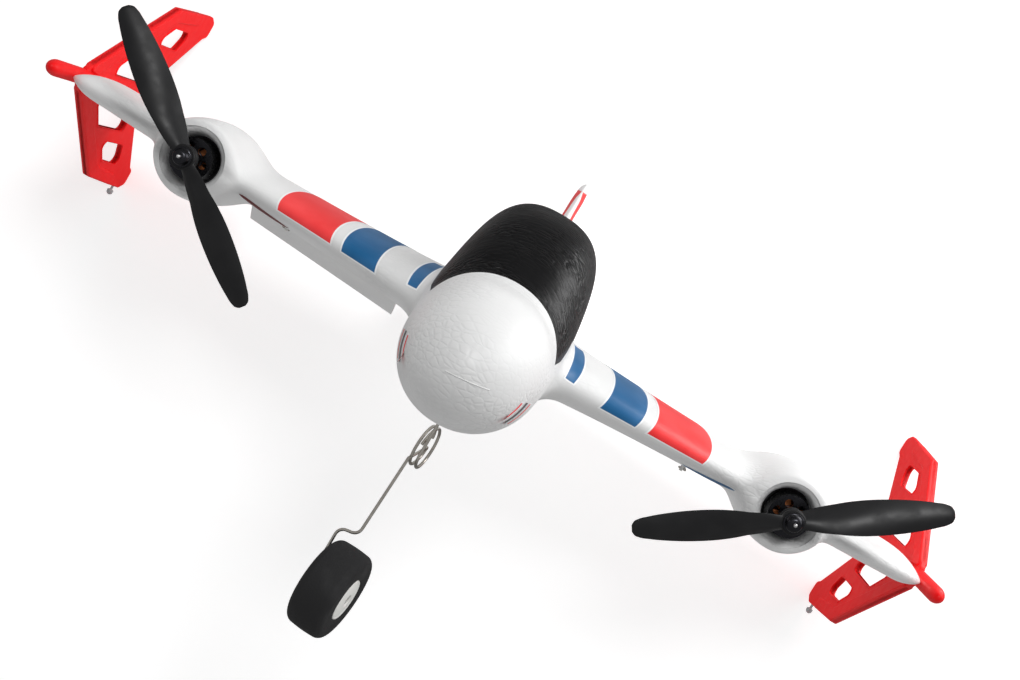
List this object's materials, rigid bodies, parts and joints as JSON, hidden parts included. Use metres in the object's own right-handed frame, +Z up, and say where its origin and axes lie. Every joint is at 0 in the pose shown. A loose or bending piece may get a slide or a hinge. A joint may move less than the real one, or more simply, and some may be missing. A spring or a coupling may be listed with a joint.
{
  "type": "tail-sitting twin-motor model aeroplane",
  "caption": "Foam radio-controlled tail-sitter with wing nacelles, outrunner motors, propellers, elevons with servos, red tip fins, a lift-off canopy and a sprung nose wheel",
  "frame": {"origin": "centre of the bounding box seen from above, at the height of the bottom of the nose wheel", "axes": "nose points to -Y, the aircraft's own left wing to +X, up is +Z"},
  "size_m": [0.526, 0.357, 0.2485],
  "materials": {
    "white_foam": "moulded bead foam, satin",
    "black_foam": "moulded bead foam, satin black",
    "red_plastic": "gloss red moulding",
    "clear_plastic": "cloudy clear moulding",
    "carbon": "carbon fibre tube, satin",
    "wire": "bright nickel-plated wire",
    "steel": "bright steel",
    "magnet": "nickel-plated magnet",
    "motor_alloy": "machined aluminium",
    "motor_black": "black anodised aluminium",
    "lamination": "dark laminated steel",
    "copper": "enamelled copper wire",
    "black_plastic": "black nylon",
    "prop_plastic": "black composite, satin to gloss",
    "servo_case": "translucent blue servo case",
    "white_plastic": "white nylon",
    "plywood": "thin birch plywood",
    "battery_wrap": "blue shrink wrap",
    "webbing": "black hook-and-loop webbing",
    "silicone": "silicone-sheathed lead",
    "lead_black": "black silicone-sheathed lead",
    "circuit": "green circuit board",
    "module_black": "black shrink-wrapped electronics",
    "tyre_foam": "black closed-cell foam tyre"
  },
  "bodies": {
    "airframe": {"fuselage_upper": "white_foam", "fuselage_lower": "white_foam", "wing_left": "white_foam", "wing_right": "white_foam", "wing_spar": "carbon", "tail_fin": "white_foam", "tip_fin_left": "red_plastic", "tip_fin_right": "red_plastic", "fin_skids": "clear_plastic", "hatch_magnets": "magnet", "battery_tray": "plywood", "battery": "battery_wrap", "battery_strap": "webbing", "battery_lead": "silicone", "flight_controller": "circuit", "speed_controllers": "module_black", "motor_leads": "lead_black", "hinge_pins": "steel", "servo_left": "servo_case", "servo_right": "servo_case", "motor_mount_left": "black_plastic", "motor_mount_right": "black_plastic", "mount_screws": "steel", "motor_base_left": "motor_alloy", "motor_base_right": "motor_alloy", "stator_left": "lamination", "stator_right": "lamination", "windings_left": "copper", "windings_right": "copper", "bearings": "steel", "gear_block": "white_plastic", "gear_block_screws": "steel", "gear_spring": "wire"},
    "hatch": {"canopy": "black_foam", "canopy_magnets": "magnet"},
    "left_surface": {"elevon_left": "white_foam", "control_horn_left": "black_plastic"},
    "right_surface": {"elevon_right": "white_foam", "control_horn_right": "black_plastic"},
    "left_arm": {"servo_arm_left": "white_plastic"},
    "right_arm": {"servo_arm_right": "white_plastic"},
    "left_link": {"pushrod_left": "wire"},
    "right_link": {"pushrod_right": "wire"},
    "left_rotor": {"bell_left": "motor_black", "rotor_magnets_left": "magnet", "shaft_left": "steel", "propeller_left": "prop_plastic", "prop_nut_left": "motor_black"},
    "right_rotor": {"bell_right": "motor_black", "rotor_magnets_right": "magnet", "shaft_right": "steel", "propeller_right": "prop_plastic", "prop_nut_right": "motor_black"},
    "nose_leg": {"gear_leg": "wire", "wheel_collar": "steel"},
    "nose_wheel": {"wheel_hub": "white_plastic", "tyre": "tyre_foam"}
  },
  "joints": [
    {"name": "canopy_lift", "type": "slide", "parent": "airframe", "child": "hatch", "axis": [0, 0, 1], "range_m": [0, 0.05]},
    {"name": "left_elevon_hinge", "type": "hinge", "parent": "airframe", "child": "left_surface", "pos_m": [0.1055, 0.06345, 0.157], "axis": [1, 0, 0], "range_deg": [-40, 40]},
    {"name": "right_elevon_hinge", "type": "hinge", "parent": "airframe", "child": "right_surface", "pos_m": [-0.1055, 0.06345, 0.157], "axis": [1, 0, 0], "range_deg": [-2, 78]},
    {"name": "left_servo_shaft", "type": "hinge", "parent": "airframe", "child": "left_arm", "pos_m": [0.1204, 0.01345, 0.153], "axis": [1, 0, 0], "range_deg": [-40, 40]},
    {"name": "right_servo_shaft", "type": "hinge", "parent": "airframe", "child": "right_arm", "pos_m": [-0.1204, 0.01345, 0.153], "axis": [1, 0, 0], "range_deg": [-2, 78]},
    {"name": "left_pushrod_eye", "type": "hinge", "parent": "left_arm", "child": "left_link", "pos_m": [0.1204, 0.01345, 0.143], "axis": [1, 0, 0], "range_deg": [-40, 40]},
    {"name": "right_pushrod_eye", "type": "hinge", "parent": "right_arm", "child": "right_link", "pos_m": [-0.1204, 0.0073, 0.14512], "axis": [1, 0, 0], "range_deg": [-78, 2]},
    {"name": "left_motor_shaft", "type": "hinge", "parent": "airframe", "child": "left_rotor", "pos_m": [0.1686, -0.05105, 0.1555], "axis": [0, 1, 0], "continuous": true},
    {"name": "right_motor_shaft", "type": "hinge", "parent": "airframe", "child": "right_rotor", "pos_m": [-0.1686, -0.05105, 0.1555], "axis": [0, 1, 0], "continuous": true},
    {"name": "gear_flex", "type": "hinge", "parent": "airframe", "child": "nose_leg", "pos_m": [0.00313, -0.07852, 0.1], "axis": [0.9781, -0.2079, 0], "range_deg": [-10, 12], "stiffness_Nm_per_rad": 0.6},
    {"name": "wheel_axle", "type": "hinge", "parent": "nose_leg", "child": "nose_wheel", "pos_m": [-0.00291, -0.08772, 0.022], "axis": [0.9781, -0.2079, 0], "continuous": true}
  ],
  "couplings": [
    {"joint": "left_servo_shaft", "follows": "left_elevon_hinge", "ratio": 1},
    {"joint": "left_pushrod_eye", "follows": "left_elevon_hinge", "ratio": -1},
    {"joint": "right_servo_shaft", "follows": "right_elevon_hinge", "ratio": 1},
    {"joint": "right_pushrod_eye", "follows": "right_elevon_hinge", "ratio": -1}
  ]
}
